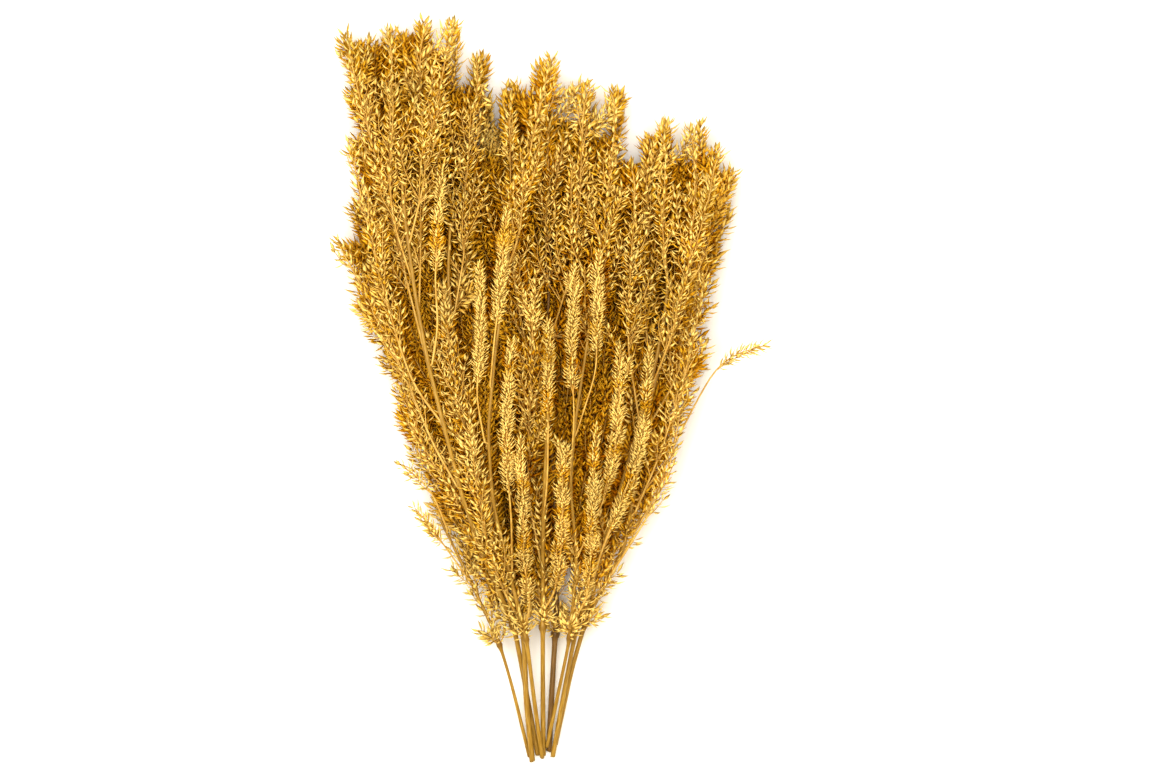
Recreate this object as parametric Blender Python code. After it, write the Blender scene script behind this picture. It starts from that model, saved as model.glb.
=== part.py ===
"""A bunch of dried umbrella sedge, cut and laid down on a flat surface.

Nine stalks cross near their cut ends and fan out into leafy branches, pressed flat where they lie.
The cut ends point to -Y, the tips to +Y, and the lowest branches rest at z = 0.
Tables are in millimetres. The objects are in metres.
"""

import itertools
import math
from dataclasses import dataclass

import bmesh
import bpy
import numpy as np
from mathutils import Vector
from mathutils.bvhtree import BVHTree

MM = 0.001
SEED = 11
PATH_STEP = 10.0  # spacing of the points along a stalk or a branch
GAP = 0.8  # air left between one piece and the next

STALK_SIDES = 8
STALK_RING_STEP = 62.0
CUT_NODE_SWELL = 1.4  # the knot at a stalk's first node, over the stalk's own radius
CUT_NODE_LENGTH = 5.0
STALK_LEAF_LEAST = 3.0  # leaves at a node are never drawn in closer than this
NODE_LEAF_REACH = 14.0  # the few leaves at a stalk's first node stand this far out

TWIG_RADIUS = 1.0
BRANCH_SIDES = 6
BARE_RING_STEP = 42.0
LEAFY_RING_STEP = 26.0
CORE_SHARE = 0.56  # radius of the dense middle of the foliage, over its full radius
SHOOT_LEAN = 0.85  # how far a shoot's tip leans up the branch, over the ring spacing
TIP_SPREAD = 0.4  # how far below the tip the last shoots end, over the ring spacing
LEAST_SHOOT = 0.36  # a shoot stands out at least this far, over the foliage's radius
TIP_HEIGHT = 148.0  # nothing rises above this
PRESSED = 0.4  # height of a spray's axis where it is pressed on the surface, over its radius
CROWDING = 0.56  # how close two sprays may lie, over the sum of their radii
PUSH_DIRECTION = np.array([0.5, 0.3, 1.0])  # crowded branches give way mostly upward and downward

# Stalk: radius at the cut, radius at the top, distance from the cut to the first node, and the route up.
STALKS = {
    "a": (1.6, 1.1, 107, [
        (-21, -321, 1.6), (-33, -270, 17), (-48, -218, 32), (-64, -183, 38), (-81, -149, 42),
        (-98, -114, 46),
    ]),
    "b": (2.2, 1.5, 118, [
        (-13.5, -319.5, 2.2), (-24, -262, 16), (-35, -203, 39), (-52, -165, 58), (-66, -131, 74),
        (-84, -76, 92), (-97, -20, 104), (-109, 25, 110), (-117, 69, 112), (-124, 112, 110),
        (-130, 164, 104), (-131, 180, 102),
    ]),
    "c": (2.6, 1.3, 116, [
        (-18.2, -325, 5.4), (-24, -270, 24), (-26, -209, 37), (-44, -140, 50), (-59, -79, 60),
        (-74, -18, 66), (-85, 34, 68), (-91, 86, 68), (-92, 121, 67), (-89, 145, 66),
    ]),
    "d": (2.0, 1.3, 112, [
        (-9.6, -322, 7.0), (-17, -270, 28), (-24, -213, 50), (-41, -149, 74), (-55, -80, 95),
        (-55, -10, 110), (-47, 51, 115), (-38, 121, 114),
    ]),
    "e": (2.3, 1.5, 121, [
        (-8.6, -320, 2.4), (-9, -262, 22), (-9, -201, 42), (-9, -149, 62), (-8, -97, 80), (-5, -44, 94),
        (-4, -10, 100),
    ]),
    "f": (2.6, 1.3, 102, [
        (-3.6, -316.5, 2.6), (-2, -270, 11), (2, -215, 19), (3, -149, 25), (0, -79, 29), (-4, -10, 32),
        (-5, 62, 34), (-3, 89, 35), (-2, 122, 37), (-1, 152, 40),
    ]),
    "g": (1.7, 1.2, 107, [
        (-5.5, -313, 6.9), (5, -262, 28), (16, -209, 49), (21, -149, 70), (16, -100, 86), (14, -70, 93),
        (18, -36, 100), (24, -1, 106), (30, 42, 108),
    ]),
    "h": (2.1, 1.3, 118, [
        (-0.5, -321.5, 6.6), (10, -262, 23), (21, -206, 38), (41, -149, 54), (58, -88, 66),
        (76, -27, 74), (91, 31, 80), (98, 63, 82), (101, 108, 82), (93, 152, 82),
    ]),
    "i": (2.2, 1.2, 113, [
        (1.8, -311, 2.3), (12, -262, 15), (28, -203, 28), (45, -170, 36), (63, -138, 42),
        (69, -110, 45), (75, -55, 50), (87, 0, 53), (101, 48, 54), (114, 80, 54),
    ]),
}

# Branch: name, y of its fork on the stalk of that letter, bare share of its length, a point that it passes,
# its tip, and the radius of its foliage.
BRANCHES = [
    ("a1", -125, 0.45, (-106, -86, 56), (-136, -64, 58), 10),
    ("a2", -168, 0.40, (-96, -134, 66), (-123, -100, 74), 10),
    ("a3", -178, 0.10, (-104, -30, 10), (-165, 151, 11), 22),
    ("a4", -194, 0.04, (-111, -62, 58), (-142, 41, 62), 19),
    ("a5", -205, 0.06, (-82, -80, 10), (-111, 62, 11), 23),
    ("b1", 20, 0.25, (-148, 180, 80), (-184, 312, 72), 20),
    ("b2", 100, 0.20, (-140, 190, 98), (-139, 319, 98), 22),
    ("b3", 70, 0.22, (-117, 180, 70), (-115, 323, 66), 23),
    ("b4", 130, 0.20, (-108, 215, 108), (-84, 324, 104), 21),
    ("b5", -30, 0.30, (-153, 110, 106), (-177, 216, 98), 17),
    ("b6", -80, 0.30, (-141, 40, 84), (-189, 131, 76), 17),
    ("b7", 20, 0.35, (-102, 95, 118), (-95, 195, 116), 15),
    ("c1", 60, 0.22, (-78, 165, 66), (-60, 295, 66), 22),
    ("c2", -140, 0.22, (-84, 5, 84), (-98, 105, 88), 20),
    ("c3", -80, 0.22, (-88, 110, 10), (-93, 255, 13), 24),
    ("c4", -120, 0.22, (-142, 145, 10), (-163, 307, 14), 24),
    ("c5", -197, 0.05, (-60, -120, 86), (-76, -8, 102), 19),
    ("d1", 112, 0.12, (-26, 175, 108), (0, 295, 104), 17),
    ("d2", 0, 0.25, (-46, 84, 128), (-39, 173, 130), 15),
    ("d3", -50, 0.25, (-62, 32, 124), (-64, 112, 128), 15),
    ("d4", -160, 0.25, (-37, -60, 118), (-36, 46, 136), 15),
    ("d5", -201, 0.05, (-31, -135, 94), (-29, -40, 116), 16),
    ("e1", -110, 0.35, (-4, -25, 116), (-4, 62, 138), 14),
    ("e2", -150, 0.22, (-20, 0, 92), (-14, 105, 100), 18),
    ("e3", -188, 0.05, (8, -118, 92), (8, -31, 122), 16),
    ("e4", -190, 0.05, (-19, -122, 44), (-22, -5, 58), 21),
    ("f1", 0, 0.22, (-35, 120, 58), (-37, 270, 64), 22),
    ("f2", 90, 0.20, (-3, 175, 46), (-11, 289, 50), 22),
    ("f3", 40, 0.22, (20, 130, 70), (28, 269, 66), 22),
    ("f4", -110, 0.20, (-42, 60, 10), (-62, 203, 12), 24),
    ("f5", -130, 0.18, (7, 10, 10), (-10, 158, 12), 24),
    ("f6", -197, 0.05, (-30, -85, 10), (-43, 40, 11), 22),
    ("f7", -150, 0.20, (50, 50, 10), (46, 208, 18), 24),
    ("g1", -40, 0.22, (43, 130, 94), (57, 265, 96), 21),
    ("g2", -70, 0.30, (16, 30, 122), (19, 109, 126), 15),
    ("g3", -40, 0.30, (38, 40, 116), (40, 123, 118), 15),
    ("g4", -140, 0.22, (55, -40, 112), (58, 49, 124), 18),
    ("g5", -197, 0.05, (36, -118, 92), (39, -18, 114), 18),
    ("h1", -20, 0.25, (67, 90, 94), (73, 202, 90), 17),
    ("h2", 20, 0.22, (80, 125, 58), (82, 224, 62), 19),
    ("h3", 90, 0.20, (96, 160, 96), (100, 239, 98), 17),
    ("h4", 0, 0.22, (119, 115, 108), (125, 235, 100), 20),
    ("h5", -60, 0.20, (98, 55, 10), (103, 208, 14), 24),
    ("h6", -165, 0.18, (74, -50, 102), (84, 38, 114), 17),
    ("i1", -40, 0.22, (125, 90, 76), (141, 214, 84), 19),
    ("i2", 20, 0.22, (126, 105, 38), (158, 193, 44), 17),
    ("i3", -110, 0.22, (113, -5, 90), (135, 108, 100), 17),
    ("i4", -100, 0.66, (143, 20, 62), (189, 39, 68), 10),
    ("i5", -125, 0.22, (103, -40, 50), (130, 77, 52), 17),
    ("i6", -168, 0.30, (91, -90, 74), (111, -14, 84), 13),
    ("i7", -193, 0.06, (70, -80, 10), (82, 64, 11), 22),
]


@dataclass
class Axis:
    """The line that a stalk or a branch grows along, point by point from its foot to its tip."""

    name: str
    points: np.ndarray
    wood: np.ndarray  # radius of the stalk or twig
    leaves: np.ndarray  # radius of the foliage around it, 0 where it is bare
    free: np.ndarray  # how far it gives way to its neighbours, from 0 to 1

    def at(self, distance):
        """The point at a distance along the axis, with its direction and its foliage radius."""
        place = min(max(distance / PATH_STEP, 0.0), len(self.points) - 1.001)
        i = int(place)
        share = place - i
        point = self.points[i] * (1 - share) + self.points[i + 1] * share
        low = self.points[max(i - 1, 0)]
        high = self.points[min(i + 2, len(self.points) - 1)]
        leaves = self.leaves[i] * (1 - share) + self.leaves[i + 1] * share
        return point, (high - low) / np.linalg.norm(high - low), leaves

    @property
    def length(self):
        """Length of the axis."""
        return PATH_STEP * (len(self.points) - 1)


def smooth_path(points):
    """Points every PATH_STEP or so along a smooth curve through the given points."""
    given = np.array(points, dtype=float)
    padded = np.vstack([2 * given[0] - given[1], given, 2 * given[-1] - given[-2]])
    fine = []
    for p0, p1, p2, p3 in zip(padded[:-3], padded[1:-2], padded[2:-1], padded[3:]):
        for t in np.linspace(0, 1, 24, endpoint=False):
            bend = (2 * p0 - 5 * p1 + 4 * p2 - p3) * t * t + (3 * p1 - p0 - 3 * p2 + p3) * t ** 3
            fine.append(0.5 * (2 * p1 + (p2 - p0) * t + bend))
    fine.append(given[-1])
    fine = np.array(fine)
    run = np.concatenate([[0], np.cumsum(np.linalg.norm(np.diff(fine, axis=0), axis=1))])
    count = max(int(round(run[-1] / PATH_STEP)), 3) + 1
    even = np.linspace(0, run[-1], count)
    return np.column_stack([np.interp(even, run, fine[:, k]) for k in range(3)])


def stalk_axis(letter):
    """A stalk along its route, tapered from its cut to its top."""
    cut_radius, top_radius, _, route = STALKS[letter]
    points = smooth_path(route)
    share = np.linspace(0, 1, len(points))
    wood = cut_radius + (top_radius - cut_radius) * share
    free = np.clip((share - 0.02) * 8, 0, 1)
    return Axis("stalk_" + letter, points, wood, np.zeros(len(points)), free)


def foliage_profile(share):
    """Fullness of a spray from where its leaves begin (0) to its tip (1)."""
    return np.sin(math.pi * np.clip(share, 0, 1) ** 0.72) ** 0.58


def branch_axis(row, stalk):
    """A branch leaves the side of its stalk, follows it for a while and then leans out to its tip."""
    name, fork_y, bare_share, middle, tip, fullness = row
    middle = np.array(middle, dtype=float)
    i = int(np.argmin(np.abs(stalk.points[:, 1] - fork_y)))
    fork = stalk.points[i]
    along = stalk.points[min(i + 1, len(stalk.points) - 1)] - stalk.points[i - 1]
    along /= np.linalg.norm(along)
    away = middle - fork
    reach = np.linalg.norm(away)
    side = away - along * away.dot(along)
    side /= np.linalg.norm(side)
    foot = fork + side * (stalk.wood[i] + TWIG_RADIUS + GAP)
    lead = foot + (along * 0.75 + side * 0.45) * reach * 0.33
    points = smooth_path([foot, lead, middle, tip])
    share = (np.linspace(0, 1, len(points)) - bare_share) / (1 - bare_share)
    leaves = fullness * foliage_profile(share)
    wood = TWIG_RADIUS * np.interp(share, [0, 1], [1, 0.5])
    free = np.clip(np.arange(len(points)) / 6, 0, 1)
    return Axis("branch_" + name, points, wood, leaves, free)


def ease_apart(axes, rounds):
    """Push the axes away from each other, mostly up and down, until their wood and foliage have room."""
    place = np.vstack([axis.points for axis in axes])
    wood = np.concatenate([axis.wood for axis in axes])
    leaves = np.concatenate([axis.leaves for axis in axes])
    free = np.concatenate([axis.free for axis in axes])
    owner = np.repeat(np.arange(len(axes)), [len(axis.points) for axis in axes])
    woody = wood[:, None] + wood[None, :] + 2 * GAP
    leafy = CROWDING * (leaves[:, None] + leaves[None, :])
    need = np.maximum(woody, leafy)
    others = np.triu(owner[:, None] != owner[None, :])
    ends = np.flatnonzero(np.diff(owner)) + 1
    start = place.copy()
    for turn in range(rounds):
        if turn % 10 == 0:
            distance = np.linalg.norm(place[:, None, :] - place[None, :, :], axis=2)
            one, two = np.nonzero(others & (distance < need + 12))
        apart = place[one] - place[two]
        short = np.clip(need[one, two] - np.linalg.norm(apart, axis=1), 0, None)
        heading = apart * PUSH_DIRECTION + 1e-6
        heading *= (short / np.linalg.norm(heading, axis=1))[:, None]
        push = np.zeros_like(place)
        np.add.at(push, one, heading)
        np.add.at(push, two, -heading)
        crowd = np.bincount(one, short > 0, len(place)) + np.bincount(two, short > 0, len(place))
        moved = place - start + push * (free / np.maximum(crowd, 1) * 0.5)[:, None]
        pieces = np.split(moved, ends)
        for piece in pieces:
            piece[1:-1] = (piece[:-2] + 2 * piece[1:-1] + piece[2:]) / 4
        place = start + np.vstack(pieces) * np.minimum(free * 4, 1)[:, None]
        lowest = np.maximum(wood, PRESSED * leaves)
        place[:, 2] = np.clip(place[:, 2], lowest, TIP_HEIGHT - 0.4 * leaves)
    for axis, points in zip(axes, np.split(place, ends)):
        axis.points = points


class Room:
    """Tells how far a piece may reach from its axis before it meets the pieces beside it."""

    def __init__(self, axes):
        self.names = np.concatenate([[axis.name] * len(axis.points) for axis in axes])
        self.points = np.vstack([axis.points for axis in axes])
        self.wood = np.concatenate([axis.wood for axis in axes])
        self.leaves = np.concatenate([axis.leaves for axis in axes])

    def reach(self, name, centre, heading, wish, least):
        """How far the piece of this name may reach from a point of its axis, up to what it wishes."""
        others = (self.names != name) & (np.abs(self.points - centre).max(axis=1) < 75)
        away = self.points[others] - centre
        distance = np.linalg.norm(away, axis=1)
        facing = away.dot(heading) / distance
        share = wish / (wish + self.leaves[others] + 1e-6)
        border = np.minimum(distance * share, distance - self.wood[others] - GAP) - GAP / 2
        ahead = facing > 0.15
        limit = border[ahead] / facing[ahead]
        return max(min(np.append(limit, wish)), least)


def ring_frame(direction):
    """Two unit vectors across a direction: one level, one upward."""
    level = np.cross(direction, [0, 0, 1])
    level /= np.linalg.norm(level)
    return level, np.cross(level, direction)


def add_ring(bm, centre_layer, centre, direction, radii):
    """A ring of corners across a direction, none of them under the surface that the bunch lies on."""
    level, upward = ring_frame(direction)
    ring = []
    for k, radius in enumerate(radii):
        angle = 2 * math.pi * k / len(radii)
        vert = bm.verts.new(centre + radius * (level * math.cos(angle) + upward * math.sin(angle)))
        vert.co.z = max(vert.co.z, 0.0)
        vert[centre_layer] = Vector(centre)
        ring.append(vert)
    return ring


def bridge(bm, low, high):
    """Quads between two rings, in order around the branch."""
    count = len(low)
    faces = []
    for k in range(count):
        n = (k + 1) % count
        faces.append(bm.faces.new((low[k], low[n], high[n], high[k])))
    return faces


def stalk_mesh(axis, room, rng):
    """A tapered round stalk, cut square at both ends, with a knot and a few leaves at its first node."""
    bm = bmesh.new()
    layer = bm.verts.layers.float_vector.new("centre")
    first_node = STALKS[axis.name[-1]][2]
    stations = list(np.arange(0, axis.length - STALK_RING_STEP / 2, STALK_RING_STEP)) + [axis.length]
    stations = [s for s in stations if abs(s - first_node) > STALK_RING_STEP * 0.3]
    knot = [first_node - CUT_NODE_LENGTH, first_node, first_node + CUT_NODE_LENGTH]
    rings = []
    for s in sorted(stations + knot):
        point, direction, _ = axis.at(s)
        radius = np.interp(s / axis.length, [0, 1], [axis.wood[0], axis.wood[-1]])
        if s == first_node:
            radius *= CUT_NODE_SWELL
        rings.append(add_ring(bm, layer, point, direction, [radius] * STALK_SIDES))
        if len(rings) > 1:
            faces = bridge(bm, rings[-2], rings[-1])
        if s == knot[-1]:
            for k in range(0, STALK_SIDES, 2):
                raise_leaf(bm, layer, axis, room, faces[k], k, s, rng)
    bm.faces.new(rings[0][::-1])
    bm.faces.new(rings[-1])
    return bm


def raise_leaf(bm, layer, axis, room, face, k, s, rng):
    """Draw a face of the knot out into one of the short leaves that stand at the first node."""
    centre, direction, _ = axis.at(s + NODE_LEAF_REACH * rng.uniform(0.7, 1.3))
    level, upward = ring_frame(direction)
    angle = 2 * math.pi * (k + 0.5) / STALK_SIDES
    heading = level * math.cos(angle) + upward * math.sin(angle)
    height = room.reach(axis.name, centre, heading, NODE_LEAF_REACH, axis.wood[0])
    peak = bmesh.ops.poke(bm, faces=[face])["verts"][0]
    peak.co = Vector(centre + heading * height)
    peak[layer] = Vector(centre)


def branch_mesh(axis, room, rng):
    """A bare twig that opens into foliage: a dense middle with shoots standing out, and a pointed tip."""
    bm = bmesh.new()
    layer = bm.verts.layers.float_vector.new("centre")
    first_leaf = PATH_STEP * int(np.argmax(axis.leaves > 0))
    bare_count = max(int(round(first_leaf / BARE_RING_STEP)), 1) + 1
    stations = list(np.linspace(0, first_leaf, bare_count))
    rings = []
    for s in stations:
        point, direction, _ = axis.at(s)
        rings.append(add_ring(bm, layer, point, direction, [TWIG_RADIUS] * BRANCH_SIDES))
    bm.faces.new(rings[0][::-1])
    for low, high in zip(rings[:-1], rings[1:]):
        bridge(bm, low, high)

    leafy_length = axis.length - first_leaf
    leafy_count = max(int(round(leafy_length / LEAFY_RING_STEP)), 3)
    spacing = leafy_length / (leafy_count + 0.4)
    for row in range(leafy_count):
        s = first_leaf + (row + 0.55) * spacing
        point, direction, leaves = axis.at(s)
        level, upward = ring_frame(direction)
        radii = []
        for k in range(BRANCH_SIDES):
            angle = 2 * math.pi * k / BRANCH_SIDES
            heading = level * math.cos(angle) + upward * math.sin(angle)
            room_here = room.reach(axis.name, point, heading, leaves, TWIG_RADIUS)
            core = CORE_SHARE * leaves * rng.uniform(0.88, 1.12)
            radii.append(max(min(core, 0.85 * room_here), TWIG_RADIUS))
        ring = add_ring(bm, layer, point, direction, radii)
        faces = bridge(bm, rings[-1], ring)
        rings.append(ring)
        if row:
            raise_shoots(bm, layer, axis, room, rng, faces, row, s, spacing)
    tip = bm.verts.new(axis.points[-1])
    tip[layer] = Vector(axis.points[-1])
    last = rings[-1]
    faces = [bm.faces.new((last[k], last[(k + 1) % BRANCH_SIDES], tip)) for k in range(BRANCH_SIDES)]
    below_tip = TIP_SPREAD * spacing
    raise_shoots(bm, layer, axis, room, rng, faces, leafy_count, axis.length - below_tip, below_tip)
    return bm


def raise_shoots(bm, layer, axis, room, rng, faces, row, s, spacing):
    """Draw every second face of a row out into a shoot that leans up the branch."""
    for k, face in enumerate(faces):
        if (k + row) % 2 or max(vert.co.z for vert in face.verts) < 3.0:
            continue
        lean = spacing * SHOOT_LEAN * rng.uniform(0.8, 1.25)
        centre, direction, leaves = axis.at(min(s - spacing / 2 + lean, axis.length - 4))
        level, upward = ring_frame(direction)
        angle = 2 * math.pi * (k + 0.5 + rng.uniform(-0.15, 0.15)) / BRANCH_SIDES
        heading = level * math.cos(angle) + upward * math.sin(angle)
        wish = max(leaves, LEAST_SHOOT * axis.leaves.max()) * rng.uniform(0.85, 1.15)
        height = room.reach(axis.name, centre, heading, wish, TWIG_RADIUS)
        peak = bmesh.ops.poke(bm, faces=[face])["verts"][0]
        tip = centre + heading * height
        inner = (np.array(peak.co) - centre).dot(heading)
        if height > inner + 1.0:
            peak.co = Vector(tip)
            peak.co.z = max(peak.co.z, 0.3)
        peak[layer] = Vector(centre)


def search_trees(bm):
    """Search trees of the piece as it is, and with its skin moved out by a third of the gap."""
    bm.normal_update()
    faces = [[vert.index for vert in face.verts] for face in bm.faces]
    return [
        BVHTree.FromPolygons([vert.co + vert.normal * swell for vert in bm.verts], faces)
        for swell in (0.0, GAP * 0.3)
    ]


def draw_back(meshes):
    """Draw leaves back to their own twig wherever two pieces still touch."""
    for bm in meshes.values():
        bmesh.ops.triangulate(bm, faces=bm.faces)
        bm.verts.index_update()
        bm.verts.ensure_lookup_table()
        bm.faces.ensure_lookup_table()
    names = list(meshes)
    trees = {}
    changed = set(names)
    for _ in range(60):
        trees.update({name: search_trees(meshes[name]) for name in changed})
        touched = set()
        for first, second in itertools.combinations(names, 2):
            if first not in changed and second not in changed:
                continue
            for tree_a, tree_b in zip(trees[first], trees[second]):
                for face_a, face_b in tree_a.overlap(tree_b):
                    touched.update((first, vert.index) for vert in meshes[first].faces[face_a].verts)
                    touched.update((second, vert.index) for vert in meshes[second].faces[face_b].verts)
        if not touched:
            return
        changed = {name for name, _ in touched}
        for name, index in touched:
            bm = meshes[name]
            vert = bm.verts[index]
            out = vert.co - vert[bm.verts.layers.float_vector["centre"]]
            least = TWIG_RADIUS if name.startswith("branch") else STALK_LEAF_LEAST
            if out.length > least * 1.05:
                vert.co -= out * (1 - max(0.85, least / out.length))
    print("still touching:", sorted(changed))


def plain_material(name, colour, roughness):
    """One plain colour, for the record. The looks are made elsewhere."""
    material = bpy.data.materials.new(name)
    material.use_nodes = True
    shader = material.node_tree.nodes["Principled BSDF"]
    shader.inputs["Base Color"].default_value = (*colour, 1.0)
    shader.inputs["Roughness"].default_value = roughness
    shader.inputs["Metallic"].default_value = 0.0
    material.diffuse_color = (*colour, 1.0)
    return material


def finish(name, bm, material):
    """Turn a mesh in millimetres into a finished object in metres."""
    bmesh.ops.recalc_face_normals(bm, faces=bm.faces)
    bmesh.ops.scale(bm, vec=(MM, MM, MM), verts=bm.verts)
    mesh = bpy.data.meshes.new(name)
    bm.to_mesh(mesh)
    bm.free()
    mesh.materials.append(material)
    thing = bpy.data.objects.new(name, mesh)
    bpy.context.scene.collection.objects.link(thing)
    return thing


def main():
    """Lay out the stalks, ease the branches apart, skin them, and draw back whatever still touches."""
    for thing in list(bpy.data.objects):
        bpy.data.objects.remove(thing)
    rng = np.random.default_rng(SEED)

    stalks = {letter: stalk_axis(letter) for letter in STALKS}
    ease_apart(list(stalks.values()), rounds=60)
    for stalk in stalks.values():
        stalk.free = np.zeros(len(stalk.points))
    branches = [branch_axis(row, stalks[row[0][0]]) for row in BRANCHES]
    axes = list(stalks.values()) + branches
    ease_apart(axes, rounds=120)
    room = Room(axes)

    meshes = {axis.name: stalk_mesh(axis, room, rng) for axis in stalks.values()}
    for axis in branches:
        meshes[axis.name] = branch_mesh(axis, room, rng)
    draw_back(meshes)

    for name, bm in meshes.items():
        if name.startswith("stalk"):
            brown = name == "stalk_f"
            colour = (0.36, 0.17, 0.05) if brown else (0.72, 0.45, 0.13)
            thing = finish(name, bm, plain_material("straw " + name[-1], colour, 0.55))
            thing.data.shade_smooth()
            thing.data.set_sharp_from_angle(angle=math.radians(40))
        else:
            warmth = rng.uniform(0.85, 1.1)
            colour = (0.62, 0.31 * warmth, 0.045)
            finish(name, bm, plain_material("leaves " + name[-2:], colour, 0.7))


main()
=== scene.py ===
"""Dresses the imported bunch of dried, dyed sedge: straw stalks, leafy sprays, and the studio that it lies in.

Lengths are in metres. The bunch lies on z = 0 with its cut ends towards -Y and its tips towards +Y.
"""
import math

import bmesh
import bpy
import numpy as np
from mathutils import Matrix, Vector
from mathutils.bvhtree import BVHTree


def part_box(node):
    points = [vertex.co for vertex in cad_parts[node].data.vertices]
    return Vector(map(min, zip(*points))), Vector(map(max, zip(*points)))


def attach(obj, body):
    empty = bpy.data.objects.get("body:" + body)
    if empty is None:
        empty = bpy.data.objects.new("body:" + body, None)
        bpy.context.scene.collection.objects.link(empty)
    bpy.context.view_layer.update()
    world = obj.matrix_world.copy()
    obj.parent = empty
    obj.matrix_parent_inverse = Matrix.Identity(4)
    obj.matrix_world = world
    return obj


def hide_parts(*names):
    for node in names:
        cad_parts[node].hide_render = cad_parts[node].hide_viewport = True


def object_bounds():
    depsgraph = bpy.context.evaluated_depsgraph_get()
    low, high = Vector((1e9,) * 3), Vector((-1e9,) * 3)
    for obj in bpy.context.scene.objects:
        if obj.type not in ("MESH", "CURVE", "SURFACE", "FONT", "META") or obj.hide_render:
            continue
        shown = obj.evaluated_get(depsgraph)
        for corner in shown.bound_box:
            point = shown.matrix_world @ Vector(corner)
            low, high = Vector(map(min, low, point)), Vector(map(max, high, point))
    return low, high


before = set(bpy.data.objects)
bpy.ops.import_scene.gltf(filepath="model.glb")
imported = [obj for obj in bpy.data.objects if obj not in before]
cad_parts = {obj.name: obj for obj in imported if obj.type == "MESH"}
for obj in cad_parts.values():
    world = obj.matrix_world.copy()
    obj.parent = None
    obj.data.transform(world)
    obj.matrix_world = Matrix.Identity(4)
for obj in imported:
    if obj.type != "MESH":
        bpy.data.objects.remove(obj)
cad_box = [list(corner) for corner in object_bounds()]
MM = 0.001


# Leaf
# A short, thick needle leaf, keeled below and flat above, which curls back towards its shoot as it dries. It
# was dyed golden ochre by standing the cut stalks in glycerine and dye, so the colour is deepest at its foot
# and thin at its tip.
LEAF_LENGTH = 10.5 * MM
LEAF_WIDTH = 2.7 * MM
LEAF_THICKNESS = 1.0 * MM
LEAF_CURL = 4.0 * MM  # how far the tip bends back towards the shoot
LEAF_WIDEST = 0.58  # the share of its length where a leaf is widest
# From the leaves deep inside the bunch, darkened with painted shade where other leaves lie over them, to the
# outer leaf tips, paler where the dye is thin and where painted light falls on them.
DYE_AND_PAINTED_SHADE = ((0.0, "#AA6A04"), (0.3, "#C58A0C"), (0.65, "#DEAC2E"), (1.0, "#F2D480"))
FADED_TIP, FADED_LEAF = 0.2, 0.14  # more fading at a leaf's tip, and for a leaf as a whole, by chance
RAMP_DROP = 0.24  # lower on the ramp everywhere: less fading, and more painted shade
SEED = 7


def linear(hex_colour):
    """An sRGB hex colour as linear red, green, blue and alpha."""
    channels = [int(hex_colour[i:i + 2], 16) / 255 for i in (1, 3, 5)]
    return (*[c / 12.92 if c <= 0.04045 else ((c + 0.055) / 1.055) ** 2.4 for c in channels], 1.0)


def add(tree, kind, links=None, inputs=None, **settings):
    """Adds a node with its settings, the values of its inputs, and the sockets that feed them."""
    node = tree.nodes.new(kind)
    for name, value in settings.items():
        setattr(node, name, value)
    for key, value in (inputs or {}).items():
        node.inputs[key].default_value = value
    for key, source in (links or {}).items():
        tree.links.new(source, node.inputs[key])
    return node


def new_material(name):
    """A material with its Principled shader, and nothing else set."""
    material = bpy.data.materials.new(name)
    material.use_nodes = True
    return material, material.node_tree, material.node_tree.nodes["Principled BSDF"]


def ramp(tree, source, stops, key="Fac"):
    """A colour ramp through (place, hex colour) stops."""
    node = add(tree, "ShaderNodeValToRGB", {key: source})
    while len(node.color_ramp.elements) < len(stops):
        node.color_ramp.elements.new(0.5)
    for element, (place, colour) in zip(node.color_ramp.elements, stops):
        element.position = place
        element.color = linear(colour)
    return node.outputs["Color"]


def dyed_leaf_material():
    """Dried leaf, dyed and glycerine-preserved: matt, even, slightly waxy, paler where the dye is thin.

    Darker with painted shade where it lies deep inside the bunch, under other leaves.
    """
    material, tree, shader = new_material("dyed dried leaf")
    along = add(tree, "ShaderNodeAttribute", attribute_name="along").outputs["Fac"]
    tone = add(tree, "ShaderNodeAttribute", attribute_name="tone").outputs["Fac"]
    # Painted shade: leaves under others and leaves low by the table come out darker and more orange; outer
    # ones paler.
    painted_light_level = add(tree, "ShaderNodeAttribute", attribute_name="painted_light_level").outputs["Fac"]
    fade_and_painted_light = add(tree, "ShaderNodeMath", {0: along, 2: painted_light_level}, {1: FADED_TIP}, operation="MULTIPLY_ADD")
    fade_and_painted_light = add(tree, "ShaderNodeMath", {0: tone, 2: fade_and_painted_light.outputs[0]}, {1: FADED_LEAF},
                operation="MULTIPLY_ADD")
    fade_and_painted_light = add(tree, "ShaderNodeMath", {0: fade_and_painted_light.outputs[0]}, {1: RAMP_DROP}, operation="SUBTRACT")
    dyed = ramp(tree, fade_and_painted_light.outputs[0], DYE_AND_PAINTED_SHADE)
    place = add(tree, "ShaderNodeTexCoord").outputs["Object"]
    patches = add(tree, "ShaderNodeTexNoise", {"Vector": place}, {"Scale": 1 / (55 * MM), "Detail": 2.0})
    shade = add(tree, "ShaderNodeMapRange", {"Value": patches.outputs["Fac"]},
                {"From Min": 0.3, "From Max": 0.7, "To Min": 0.82, "To Max": 1.12})
    tinted = add(tree, "ShaderNodeVectorMath", {0: dyed, "Scale": shade.outputs["Result"]}, operation="SCALE")
    tree.links.new(tinted.outputs["Vector"], shader.inputs["Base Color"])
    shader.inputs["Roughness"].default_value = 0.7
    shader.inputs["Specular IOR Level"].default_value = 0.05
    return material


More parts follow.
